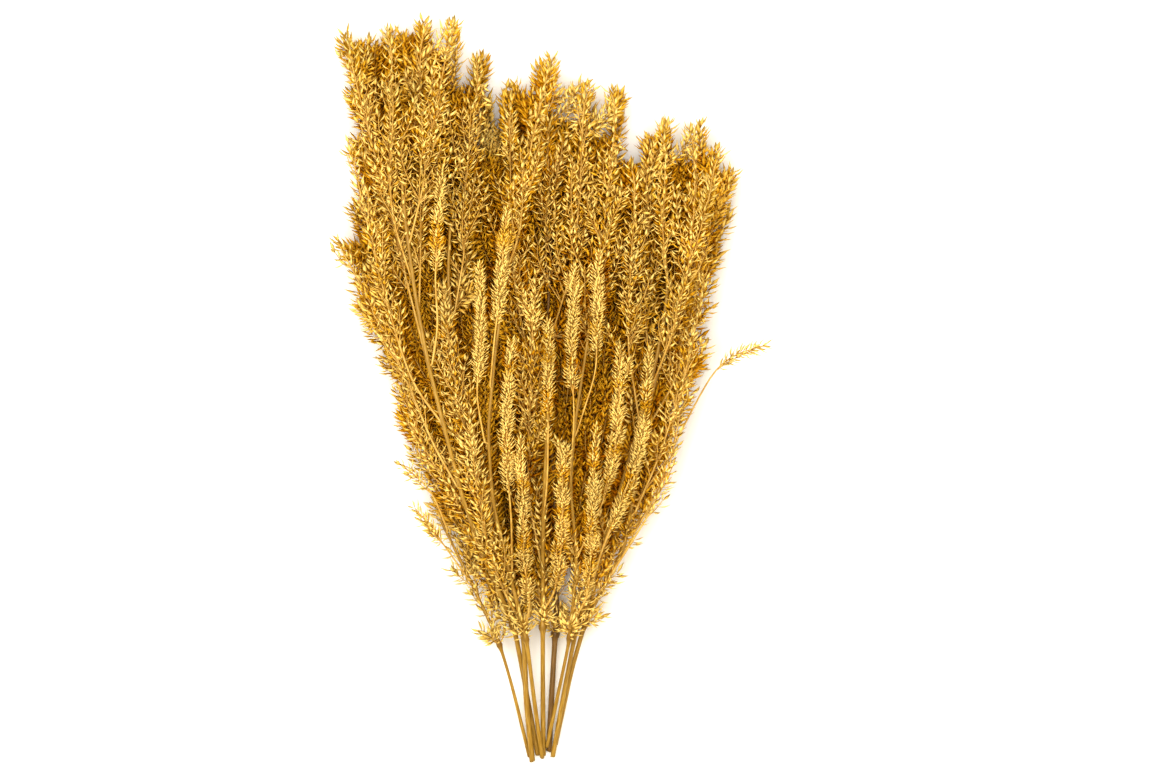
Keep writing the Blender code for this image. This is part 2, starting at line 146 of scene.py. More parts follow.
def leaf_mesh(material):
    """One leaf along +Z: three-sided, pointed at both ends, widest past its middle, bent towards -Y."""
    mesh = bpy.data.meshes.new("leaf")
    bend = -LEAF_CURL * LEAF_WIDEST ** 2
    corners = [(0.0, 0.0, 0.0)]
    for side, depth in ((-0.5, 0.35), (0.5, 0.35), (0.0, -0.65)):
        corners.append((side * LEAF_WIDTH, bend - depth * LEAF_THICKNESS, LEAF_WIDEST * LEAF_LENGTH))
    corners.append((0.0, -LEAF_CURL, LEAF_LENGTH))
    mesh.from_pydata(corners, [], [(0, 2, 1), (0, 3, 2), (0, 1, 3), (1, 2, 4), (2, 3, 4), (3, 1, 4)])
    along = mesh.attributes.new("along", "FLOAT", "POINT")
    along.data.foreach_set("value", [corner[2] / LEAF_LENGTH for corner in corners])
    closed = bmesh.new()
    closed.from_mesh(mesh)
    bmesh.ops.recalc_face_normals(closed, faces=closed.faces)
    closed.to_mesh(mesh)
    closed.free()
    mesh.materials.append(material)
    return mesh


leaf_material = dyed_leaf_material()
leaf = bpy.data.objects.new("leaf_pattern", leaf_mesh(leaf_material))


# Stalks
# Nine cut stalks of dried straw, ribbed and hard, with a knot at the first node and a small collar at each
# fork. They took up less dye than the leaves. One of them dried brown. Each was cut slantwise, which shows
# its pale pith.
SHARP_CORNER = math.radians(235)  # the faces round a leaf's or a shoot's point turn through less than this
LINE_STEP = 8 * MM
RIBS = 8
RIB_DEPTH = 0.05  # over the stalk's radius
RING_STEP = 2.5 * MM
KNOT_SWELL, KNOT_LENGTH = 0.5, 3.2 * MM
COLLAR_SWELL, COLLAR_LENGTH = 0.22, 2.6 * MM
CUT_SLANT = math.tan(math.radians(14))
STRAW = ("#72500F", "#AC8630", "#CFAE66")
BROWN_STRAW = ("#54390F", "#7A5A26", "#98784A")
PITH = "#E8D2A0"
PITH_RADIUS, PITH_DEPTH = 0.62, 0.5 * MM  # over the stalk's radius, and how far it has sunk in
FIBRE_RELIEF = 0.15 * MM
THICK_AND_THIN = 0.035  # share by which a stalk's thickness wanders
RIB_WIND, RIB_WIND_RUN = 0.9, 0.3  # ribs wind round by up to this many radians over this many metres
KNOT_DARK, COLLAR_DARK = 0.75, 0.3
GIRTH = 13  # millimetres round a stalk 4 mm thick
FOOT_SIZE, STALK_END_SIZE = 4 * MM, 6.5 * MM  # the corners this near its end make up the end of a solid


def merged_solid(node):
    """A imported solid's joined corners, its edges, the corners that stand out as points, and its skin."""
    bm = bmesh.new()
    bm.from_mesh(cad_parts[node].data)
    bmesh.ops.remove_doubles(bm, verts=bm.verts, dist=2e-6)
    bm.verts.index_update()
    points = np.array([vert.co for vert in bm.verts])
    edges = np.array([[vert.index for vert in edge.verts] for edge in bm.edges])
    sharp = [v.index for v in bm.verts if sum(loop.calc_angle() for loop in v.link_loops) < SHARP_CORNER]
    skin = BVHTree.FromBMesh(bm)
    bm.free()
    return points, edges, sharp, skin


def middle_line(points, edges, shoots, start, end):
    """The line along the middle of a solid, from the centres of its cross sections, and its radius there."""
    heading = (end - start) / np.linalg.norm(end - start)
    height = (points - start) @ heading
    plain = edges[~np.isin(edges, shoots).any(axis=1)]
    line, radii = [start], []
    count = max(int(round(np.linalg.norm(end - start) / LINE_STEP)), 6)
    for share in np.linspace(0, 1, count + 1)[1:-1]:
        level = height - share * np.linalg.norm(end - start)
        one, two = level[plain[:, 0]], level[plain[:, 1]]
        cut = one * two < 0
        if not cut.any():
            continue
        mix = (one[cut] / (one[cut] - two[cut]))[:, None]
        crossing = points[plain[cut, 0]] * (1 - mix) + points[plain[cut, 1]] * mix
        line.append(crossing.mean(axis=0))
        radii.append(np.linalg.norm(crossing - line[-1], axis=1).mean())
    line = np.array(line + [end])
    radii = np.array(radii[:1] + radii + radii[-1:])
    for _ in range(3):
        line[1:-1] = (line[:-2] + 2 * line[1:-1] + line[2:]) / 4
    return line, radii


def run_of(line):
    """Distance along a line at each of its points."""
    return np.concatenate([[0], np.cumsum(np.linalg.norm(np.diff(line, axis=0), axis=1))])


def on_line(line, run, distance):
    """The point on a line at a distance along it, and the line's direction there."""
    step = 3 * MM
    around = (distance - step, distance, distance + step)
    low, here, high = (np.array([np.interp(d, run, line[:, k]) for k in range(3)]) for d in around)
    return here, (high - low) / max(np.linalg.norm(high - low), 1e-9)


def run_at(line, run, point):
    """Distance along a line at the place nearest to a point."""
    return run[np.linalg.norm(line - point, axis=1).argmin()]


def straw_material(name, dark, body, pale):
    """Dried straw: satin, with fine lengthwise fibres, darker at the knots, pale where it was cut."""
    material, tree, shader = new_material(name)
    grain = add(tree, "ShaderNodeUVMap", uv_map="grain").outputs["UV"]
    fibres = add(tree, "ShaderNodeMapping", {"Vector": grain}, {"Scale": (1.0, 0.04, 1.0)})
    # Straw fibres are 0.1 mm wide. They are drawn 0.5 mm wide, so that the picture shows them.
    streaks = add(tree, "ShaderNodeTexNoise", {"Vector": fibres.outputs["Vector"]},
                  {"Scale": 1 / (0.5 * MM), "Detail": 3.0, "Roughness": 0.6})
    colour = ramp(tree, streaks.outputs["Fac"], [(0.3, dark), (0.52, body), (0.75, pale)])
    place = add(tree, "ShaderNodeTexCoord").outputs["Object"]
    patches = add(tree, "ShaderNodeTexNoise", {"Vector": place}, {"Scale": 1 / (38 * MM), "Detail": 3.0})
    weathered = add(tree, "ShaderNodeMapRange", {"Value": patches.outputs["Fac"]},
                    {"From Min": 0.35, "From Max": 0.7, "To Min": 0.0, "To Max": 0.55})
    colour = add(tree, "ShaderNodeMix", {"Factor": weathered.outputs["Result"], "A": colour},
                 {"B": linear(dark)}, data_type="RGBA").outputs["Result"]
    knot = add(tree, "ShaderNodeAttribute", attribute_name="knot").outputs["Fac"]
    colour = add(tree, "ShaderNodeMix", {"Factor": knot, "A": colour}, {"B": linear(dark)},
                 data_type="RGBA").outputs["Result"]
    cut = add(tree, "ShaderNodeAttribute", attribute_name="cut").outputs["Fac"]
    colour = add(tree, "ShaderNodeMix", {"Factor": cut, "A": colour}, {"B": linear(PITH)},
                 data_type="RGBA").outputs["Result"]
    bump = add(tree, "ShaderNodeBump", {"Height": streaks.outputs["Fac"]},
               {"Strength": 0.5, "Distance": FIBRE_RELIEF})
    tree.links.new(colour, shader.inputs["Base Color"])
    tree.links.new(bump.outputs["Normal"], shader.inputs["Normal"])
    shader.inputs["Roughness"].default_value = 0.48
    shader.inputs["Specular IOR Level"].default_value = 0.35
    return material


def stalk_piece(name, line, radii, knot_at, collars_at, material, rng):
    """A ribbed, tapered stalk along a line, with its knots, closed by a slanted cut at its foot."""
    run = run_of(line)
    sides = RIBS * 2
    bm = bmesh.new()
    knot_layer = bm.verts.layers.float.new("knot")
    cut_layer = bm.verts.layers.float.new("cut")
    grain = bm.loops.layers.uv.new("grain")
    rows, where = [], []
    slant_way = rng.uniform(0, 2 * math.pi)
    drift = rng.uniform(-RIB_WIND, RIB_WIND)
    stations = np.append(np.arange(0, run[-1], RING_STEP), run[-1])
    for s in stations:
        centre, along = on_line(line, run, s)
        level = np.cross(along, [0, 0, 1])
        level /= np.linalg.norm(level)
        upward = np.cross(level, along)
        knot = math.exp(-((s - knot_at) / KNOT_LENGTH) ** 2)
        collar = max([math.exp(-((s - c) / COLLAR_LENGTH) ** 2) for c in collars_at] + [0.0])
        radius = np.interp(s, run, radii) * (1 + KNOT_SWELL * knot + COLLAR_SWELL * collar)
        radius *= 1 + THICK_AND_THIN * math.sin(s / (17 * MM)) * math.sin(s / (41 * MM) + drift)
        row = []
        for k in range(sides):
            angle = 2 * math.pi * k / sides + drift * s / RIB_WIND_RUN
            out = radius * (1 + (RIB_DEPTH if k % 2 else -RIB_DEPTH))
            place = centre + out * (level * math.cos(angle) + upward * math.sin(angle))
            if s == 0:
                place = place + along * CUT_SLANT * radius * math.cos(angle - slant_way)
            place[2] = max(place[2], 0.0001)
            vert = bm.verts.new(place)
            vert[knot_layer] = min(KNOT_DARK * knot + COLLAR_DARK * collar, 1.0)
            row.append(vert)
        rows.append(row)
        where.append(s)
    for low, high, s_low, s_high in zip(rows[:-1], rows[1:], where[:-1], where[1:]):
        for k in range(sides):
            n = (k + 1) % sides
            face = bm.faces.new((low[k], low[n], high[n], high[k]))
            face.smooth = True
            across = [k, k + 1, k + 1, k]
            for loop, u, v in zip(face.loops, across, (s_low, s_low, s_high, s_high)):
                loop[grain].uv = (u / sides * GIRTH * MM, v)
    for row, inward in ((rows[0], PITH_DEPTH), (rows[-1], 0.0)):
        middle = sum((vert.co for vert in row), Vector()) / sides
        _, along = on_line(line, run, 0.0)
        rim = []
        for vert in row:
            inner = bm.verts.new(middle.lerp(vert.co, PITH_RADIUS))
            inner[cut_layer] = 1.0
            rim.append(inner)
        pit = bm.verts.new(middle + Vector(along) * inward)
        pit[cut_layer] = 0.35
        for k in range(sides):
            n = (k + 1) % sides
            bm.faces.new((row[k], row[n], rim[n], rim[k]))
            bm.faces.new((rim[k], rim[n], pit))
    bmesh.ops.recalc_face_normals(bm, faces=bm.faces)
    mesh = bpy.data.meshes.new(name)
    bm.to_mesh(mesh)
    bm.free()
    mesh.materials.append(material)
    piece = bpy.data.objects.new(name, mesh)
    bpy.context.scene.collection.objects.link(piece)
    return piece


straw = straw_material("dried straw", *STRAW)
brown_straw = straw_material("dried straw, browned", *BROWN_STRAW)
branch_nodes = sorted(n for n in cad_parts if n.startswith("branch"))
branch_feet = {}
for node in branch_nodes:
    points = merged_solid(node)[0]
    low = points[points[:, 1].argmin()]
    branch_feet[node] = points[np.linalg.norm(points - low, axis=1) < FOOT_SIZE].mean(axis=0)

# For each stalk's letter: its line, the distance along it at each point, its radius there, its knot, and the
# points of its leaves.
stalks = {}
for node in sorted(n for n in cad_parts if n.startswith("stalk")):
    letter = node.split("_")[1]
    points, edges, sharp, _ = merged_solid(node)
    ends = []
    for end in (points[:, 1].argmin(), points[:, 1].argmax()):
        ends.append(points[np.linalg.norm(points - points[end], axis=1) < STALK_END_SIZE].mean(axis=0))
    line, radii = middle_line(points, edges, sharp, *ends)
    run = run_of(line)
    beside = np.unique(edges[np.isin(edges, sharp).any(axis=1)])
    knot_at = run_at(line, run, points[np.setdiff1d(beside, sharp)].mean(axis=0))
    forks = [run_at(line, run, foot) for name, foot in branch_feet.items() if name.split("_")[1][0] == letter]
    stalks[letter] = (line, run, radii, knot_at, points[sharp])
    material = brown_straw if letter == "f" else straw
    piece = stalk_piece("cut_stalk_" + letter, line, radii, knot_at, forks, material,
                        np.random.default_rng(SEED + ord(letter)))
    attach(piece, "root")
    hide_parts(node)


# Sprays
# Each branch of the bunch is a thin straw twig with leafy side shoots that lean up along it, like a narrow
# brush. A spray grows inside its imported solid: the twig runs along the solid's middle, and a shoot ends at
# each point of it.
SHOOT_ANGLE = (22, 44)  # degrees between a shoot and the twig
# Narrow, closely leaved branches.
SPIRES = ("b7", "d2", "d3", "d4", "d5", "e1", "e3", "g2", "g3", "g4", "g5", "h6")
LONE = ("a1", "a2", "i4")  # single twigs that stray out of the bunch
OPEN = ("h5", "i5", "i6", "i7")  # thin branches at the edges, with few leaves
KINDS = {"spire": SPIRES, "lone": LONE, "open": OPEN}  # all others are full
# For each kind: extra shoots for each one that the solid has, space between leaf pairs, how far shoots keep
# to their solid, and its smallest and largest leaf.
HABITS = {
    "spire": (0.4, 1.25 * MM, 0.35, 0.6, 0.82),
    "lone": (0.3, 2.9 * MM, 0.6, 0.78, 1.0),
    "open": (0.9, 5.0 * MM, 1.0, 0.8, 1.15),
    "full": (2.4, 4.0 * MM, 1.0, 0.8, 1.15),
}
MINGLE = 2.1  # inside the bunch, side shoots reach this much further, in among their neighbours
BARE_RADIUS = 2.2 * MM  # where its solid is thinner than this, a twig is bare
LEADER_ZONE = 14 * MM  # a branch that starts this near its stalk's end carries the stalk on
SHOOT_RUN = (16 * MM, 62 * MM)  # shortest and longest way that a shoot leans along its twig
SHOOT_BARE, CROWN_BARE = 0.16, 0.1  # share of a shoot's length before its first leaves
CROWN_SHOOTS, RIM_CROWN_SHOOTS = 3, 2
CROWN_ANGLE = (7, 26)
CROWN_CLEAR, RIM_CLEAR = 20 * MM, 34 * MM  # over this length a twig's end stands clear of its side shoots
CROWN_BELOW = (20 * MM, 46 * MM)  # how far below the tip the crown's shoots leave the twig
LOWEST_TIP = 1.5 * MM
PAIR_TURN = math.radians(94)  # each pair of leaves stands crosswise to the pair before
LIFT_LOW, LIFT_TIP = math.radians(78), math.radians(60)  # between a leaf and its shoot, low and at its tip
TWIG_SHARE, LEADER_SHARE = 0.66, 0.97  # a twig's foot, and a leader's, over its stalk's thickness
TWIG_TIP = 0.5 * MM
SHOOT_FOOT, SHOOT_TIP = 0.6 * MM, 0.3 * MM
PRESS = 3 * MM  # under this height leaves are pressed flat on the surface
SOCKET_BELOW = 5 * MM  # a twig starts this far below its fork, inside the stalk
BARE_MORE, BARE_MOST = 0.08, 0.9  # a twig is bare for this share more than its solid, up to this share
FULLNESS_RUN = 14 * MM  # points of a solid this near along it tell how full it is at a place
FILL_OUT, FILL_UP = (0.45, 1.05), (0, 8)  # where an extra shoot ends: share of that fullness, millimetres up
TOP_CLEAR = 6 * MM  # extra shoots end this far under the highest place
LEAST_REACH = 0.3  # share of its way out that a shoot always keeps
CLEAR_IN, CLEAR_DOWN = 0.5, 0.6  # shares by which shoots near a twig's end are drawn in and down
LOWEST_FOOT = 0.55  # no shoot leaves its twig below this share of the bare part
CROWN_REACH = (0.3, 0.75)  # share of the way to the twig's end that a crown shoot grows
FIRST_BEND, SECOND_BEND = (0.3, 0.42), (0.66, 0.9)  # where a shoot bends: share of its way up, of its way out
WOBBLE = 0.03  # over a shoot's length
LEAVES_AT_START = 0.35  # share of the leaves that stand where they begin
LEAVES_THICKEN = 0.12  # over about this share of a twig's length, they reach their full number
LIFT_CURVE = 2.2  # leaves fold in mostly near the tip
COVER_STEP = 2 * MM
TIP_BACK = 5 * MM  # a shoot ends this far inside its solid, because its last leaves reach past it
LEAF_REACH = 5.5 * MM  # leaves stand out this far beside their shoot
HIGHEST = cad_box[1][2] + 1.5 * MM
CELL = 4 * MM  # the bunch is measured from above in cells of this width
LEVEL = 12 * MM  # and this height
GRID_LOW, GRID_SHAPE = np.array([-0.22, -0.34, 0.0]), (110, 172, 14)
RIM_CELLS = 6  # from its edge inwards, the bunch grows denser over this many cells
RIM_WIDTH = 3  # the outer ones of them are its airy rim
RIM_SHOOTS, RIM_LEAVES, RIM_TWIG_LEAVES = 0.75, 0.55, 0.85  # share of the shoots and leaves that the rim has


def straw_twig_material():
    """Thin dried twig, dyed with its leaves: matt straw, a little browner than the thick stalks."""
    material, tree, shader = new_material("dyed twig straw")
    place = add(tree, "ShaderNodeTexCoord").outputs["Object"]
    stretch = add(tree, "ShaderNodeMapping", {"Vector": place}, {"Scale": (1.0, 0.12, 1.0)})
    streaks = add(tree, "ShaderNodeTexNoise", {"Vector": stretch.outputs["Vector"]},
                  {"Scale": 1 / (3 * MM), "Detail": 3.0})
    colour = ramp(tree, streaks.outputs["Fac"], [(0.3, "#B4862A"), (0.7, "#DEBA66")])
    tree.links.new(colour, shader.inputs["Base Color"])
    shader.inputs["Roughness"].default_value = 0.6
    return material


def spray_tree():
    """Geometry Nodes: twig lines become round twigs, and leaves stand along their leafy parts."""
    tree = bpy.data.node_groups.new("leafy spray", "GeometryNodeTree")
    sockets = {}
    for name, kind, default in (
        ("Twig lines", "NodeSocketGeometry", None), ("Leaf", "NodeSocketObject", None),
        ("Pair spacing", "NodeSocketFloat", 2 * MM), ("Turn per pair", "NodeSocketFloat", PAIR_TURN),
        ("Smallest leaf", "NodeSocketFloat", 0.72), ("Largest leaf", "NodeSocketFloat", 1.12),
        ("Press height", "NodeSocketFloat", PRESS), ("Seed", "NodeSocketInt", SEED),
        ("Leaf material", "NodeSocketMaterial", None), ("Twig material", "NodeSocketMaterial", None),
    ):
        socket = tree.interface.new_socket(name, in_out="INPUT", socket_type=kind)
        if default is not None:
            socket.default_value = default
        sockets[name] = socket.identifier
    tree.interface.new_socket("Spray", in_out="OUTPUT", socket_type="NodeSocketGeometry")
    given = add(tree, "NodeGroupInput").outputs

    def attribute(name):
        named = add(tree, "GeometryNodeInputNamedAttribute", inputs={"Name": name}, data_type="FLOAT")
        return named.outputs[0]

    def chance(low, high, offset):
        seed = add(tree, "ShaderNodeMath", {0: given["Seed"]}, {1: float(offset)}, operation="ADD")
        node = add(tree, "FunctionNodeRandomValue", {"Seed": seed.outputs[0]}, data_type="FLOAT")
        for key, value in (("Min", low), ("Max", high)):
            if isinstance(value, float):
                node.inputs[key].default_value = value
            else:
                tree.links.new(value, node.inputs[key])
        return node.outputs["Value"]

    def maths(operation, a, b=0.0):
        node = add(tree, "ShaderNodeMath", operation=operation)
        for slot, value in enumerate((a, b)):
            if isinstance(value, float):
                node.inputs[slot].default_value = value
            else:
                tree.links.new(value, node.inputs[slot])
        return node.outputs[0]

    curves = add(tree, "GeometryNodeMeshToCurve", {"Mesh": given["Twig lines"]}).outputs["Curve"]
    ring = add(tree, "GeometryNodeCurvePrimitiveCircle", inputs={"Resolution": 4, "Radius": 1.0})
    twigs = add(tree, "GeometryNodeCurveToMesh",
                {"Curve": curves, "Profile Curve": ring.outputs["Curve"], "Scale": attribute("thickness")},
                {"Fill Caps": True})
    twigs = add(tree, "GeometryNodeSetMaterial",
                {"Geometry": twigs.outputs["Mesh"], "Material": given["Twig material"]})

    points = add(tree, "GeometryNodeCurveToPoints", {"Curve": curves, "Length": given["Pair spacing"]},
                 mode="LENGTH")
    index = add(tree, "GeometryNodeInputIndex").outputs["Index"]
    pair_turn = maths("ADD", maths("MULTIPLY", index, given["Turn per pair"]), chance(-0.3, 0.3, 1))
    leafy = add(tree, "FunctionNodeCompare", {0: attribute("leafiness"), 1: chance(0.0, 1.0, 3)},
                data_type="FLOAT", operation="GREATER_THAN")
    pattern = add(tree, "GeometryNodeObjectInfo", {"Object": given["Leaf"]}).outputs["Geometry"]
    leaves = add(tree, "GeometryNodeJoinGeometry")
    for half, offset in ((0.0, 10), (math.pi, 20)):
        turn = maths("ADD", maths("ADD", pair_turn, half), chance(-0.15, 0.15, offset + 1))
        around = add(tree, "FunctionNodeEulerToRotation",
                     {0: add(tree, "ShaderNodeCombineXYZ", {"Z": turn}).outputs[0]})
        turned = add(tree, "FunctionNodeRotateRotation",
                     {0: points.outputs["Rotation"], 1: around.outputs[0]}, rotation_space="LOCAL")
        lift = maths("MULTIPLY", maths("ADD", attribute("lift"), chance(-0.18, 0.18, offset + 2)), -1.0)
        outward = add(tree, "FunctionNodeEulerToRotation",
                      {0: add(tree, "ShaderNodeCombineXYZ", {"X": lift}).outputs[0]})
        leaning = add(tree, "FunctionNodeRotateRotation",
                      {0: turned.outputs[0], 1: outward.outputs[0]}, rotation_space="LOCAL")
        stood = add(tree, "GeometryNodeInstanceOnPoints", {
            "Points": points.outputs["Points"], "Selection": leafy.outputs[0], "Instance": pattern,
            "Rotation": leaning.outputs[0],
            "Scale": chance(given["Smallest leaf"], given["Largest leaf"], offset + 3)})
        toned = add(tree, "GeometryNodeStoreNamedAttribute",
                    {"Geometry": stood.outputs[0], "Value": chance(0.0, 1.0, offset + 4)},
                    {"Name": "tone"}, data_type="FLOAT", domain="INSTANCE")
        tree.links.new(toned.outputs["Geometry"], leaves.inputs["Geometry"])
    both = add(tree, "GeometryNodeJoinGeometry", {"Geometry": twigs.outputs["Geometry"]})
    real = add(tree, "GeometryNodeRealizeInstances", {"Geometry": leaves.outputs["Geometry"]})
    real = add(tree, "GeometryNodeSetMaterial",
               {"Geometry": real.outputs["Geometry"], "Material": given["Leaf material"]})
    tree.links.new(real.outputs["Geometry"], both.inputs["Geometry"])

    place = add(tree, "ShaderNodeSeparateXYZ", {0: add(tree, "GeometryNodeInputPosition").outputs[0]}).outputs
    over = maths("DIVIDE", place["Z"], given["Press height"])
    pressed = maths("MULTIPLY", given["Press height"], maths("EXPONENT", maths("SUBTRACT", over, 1.0)))
    low = add(tree, "FunctionNodeCompare", {0: place["Z"], 1: given["Press height"]},
              data_type="FLOAT", operation="LESS_THAN")
    flat = add(tree, "ShaderNodeCombineXYZ", {"X": place["X"], "Y": place["Y"], "Z": pressed})
    settled = add(tree, "GeometryNodeSetPosition", {
        "Geometry": both.outputs["Geometry"], "Selection": low.outputs[0], "Position": flat.outputs[0]})
    smooth = add(tree, "GeometryNodeSetShadeSmooth", {"Geometry": settled.outputs["Geometry"]})
    add(tree, "NodeGroupOutput", {"Spray": smooth.outputs["Geometry"]})
    return tree, sockets


def cells(places):
    """Grid cells of points."""
    at = ((places - GRID_LOW) / (CELL, CELL, LEVEL)).astype(int)
    return tuple(np.clip(at, 0, np.array(GRID_SHAPE) - 1).T)


def neighbours(grid, how):
    """Each cell joined with the eight round it, by taking the highest or the lowest."""
    return how([np.roll(grid, (i, j), (0, 1)) for i in (-1, 0, 1) for j in (-1, 0, 1)], axis=0)


footprint = np.zeros(GRID_SHAPE[:2], dtype=bool)  # cells that the solids cover, seen from above
airy = np.zeros(GRID_SHAPE[:2], dtype=bool)  # cells that only open branches cover
for node in sorted(branch_nodes, key=lambda n: n.split("_")[1] in OPEN):
    if node.split("_")[1] in LONE:
        continue
    skin = merged_solid(node)[3]
    low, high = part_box(node)
    for i, j in np.ndindex(*footprint.shape):
        x, y = GRID_LOW[:2] + (np.array([i, j]) + 0.5) * CELL
        if low[0] <= x <= high[0] and low[1] <= y <= high[1] and not footprint[i, j]:
            footprint[i, j] = skin.ray_cast(Vector((x, y, 0.3)), Vector((0, 0, -1)))[0] is not None
            airy[i, j] = footprint[i, j] and node.split("_")[1] in OPEN
footprint = neighbours(neighbours(footprint, np.max), np.min)
depth_in = np.zeros(footprint.shape)  # cells from the edge of the bunch, up to RIM_CELLS
within = footprint
for _ in range(RIM_CELLS):
    depth_in += within
    within = neighbours(within, np.min)
inner = depth_in > RIM_WIDTH


def shoot_line(foot, along, tip, rng):
    """A shoot's line: it leaves the twig outwards, then turns up beside it."""
    span = tip - foot
    span *= max(1 - TIP_BACK / np.linalg.norm(span), 0.5)
    tip = foot + span
    forward = along * span.dot(along)
    outward = span - forward
    reach = np.linalg.norm(span)
    first = foot + forward * FIRST_BEND[0] + outward * FIRST_BEND[1] + rng.normal(0, WOBBLE, 3) * reach
    second = foot + forward * SECOND_BEND[0] + outward * SECOND_BEND[1] + rng.normal(0, WOBBLE, 3) * reach
    t = np.linspace(0, 1, max(int(reach / LINE_STEP), 3) + 1)[:, None]
    return (1 - t) ** 3 * foot + 3 * (1 - t) ** 2 * t * first + 3 * (1 - t) * t ** 2 * second + t ** 3 * tip


class TwigLines:
    """Lines of twigs and shoots, with what the spray tree needs to know at each point."""

    def __init__(self):
        self.points, self.edges = [], []
        self.thickness, self.leafiness, self.lift, self.painted_light_level = [], [], [], []

    def draw(self, line, thick_from, thick_to, leaf_start, density=1.0):
        """One twig. leaf_start is the share of its length at which leaves begin."""
        first = len(self.points)
        line = np.column_stack([line[:, :2], np.minimum(line[:, 2], HIGHEST)])
        share = run_of(line) / run_of(line)[-1]
        self.points += [tuple(p) for p in line]
        self.edges += [(first + i, first + i + 1) for i in range(len(line) - 1)]
        self.thickness += list(thick_from + (thick_to - thick_from) * share)
        leafy = (share - leaf_start) / LEAVES_THICKEN + LEAVES_AT_START
        self.leafiness += list(np.clip(leafy, 0, 1) * density)
        self.lift += list(LIFT_LOW + (LIFT_TIP - LIFT_LOW) * np.clip(share, 0, 1) ** LIFT_CURVE)

    def grow(self, name, seed, foliage):
        """The finished piece: round twigs and real leaves in one plain mesh."""
        mesh = bpy.data.meshes.new(name)
        mesh.from_pydata(self.points, self.edges, [])
        for key in ("thickness", "leafiness", "lift", "painted_light_level"):
            mesh.attributes.new(key, "FLOAT", "POINT").data.foreach_set("value", getattr(self, key))
        piece = bpy.data.objects.new(name, mesh)
        bpy.context.scene.collection.objects.link(piece)
        grower = piece.modifiers.new("grow", "NODES")
        grower.node_group = spray_nodes
        grower[spray_inputs["Leaf"]] = leaf
        grower[spray_inputs["Seed"]] = seed
        for key, value in zip(("Pair spacing", "Smallest leaf", "Largest leaf"), foliage):
            grower[spray_inputs[key]] = value
        grower[spray_inputs["Leaf material"]] = leaf_material
        grower[spray_inputs["Twig material"]] = twig_material
        graph = bpy.context.evaluated_depsgraph_get()
        grown = bpy.data.meshes.new_from_object(piece.evaluated_get(graph), depsgraph=graph)
        piece.modifiers.remove(grower)
        piece.data = grown
        for key in ("thickness", "leafiness", "lift"):
            grown.attributes.remove(grown.attributes[key])
        return piece

    def leafy_points(self):
        """Points along the lines, COVER_STEP apart, and how leafy each is."""
        places, weights = [], []
        points = np.array(self.points)
        for one, two in self.edges:
            steps = max(int(np.linalg.norm(points[two] - points[one]) / COVER_STEP), 1)
            share = (np.arange(steps) + 0.5)[:, None] / steps
            places.append(points[one] * (1 - share) + points[two] * share)
            weights += [self.leafiness[one]] * steps
        return np.vstack(places), np.array(weights)


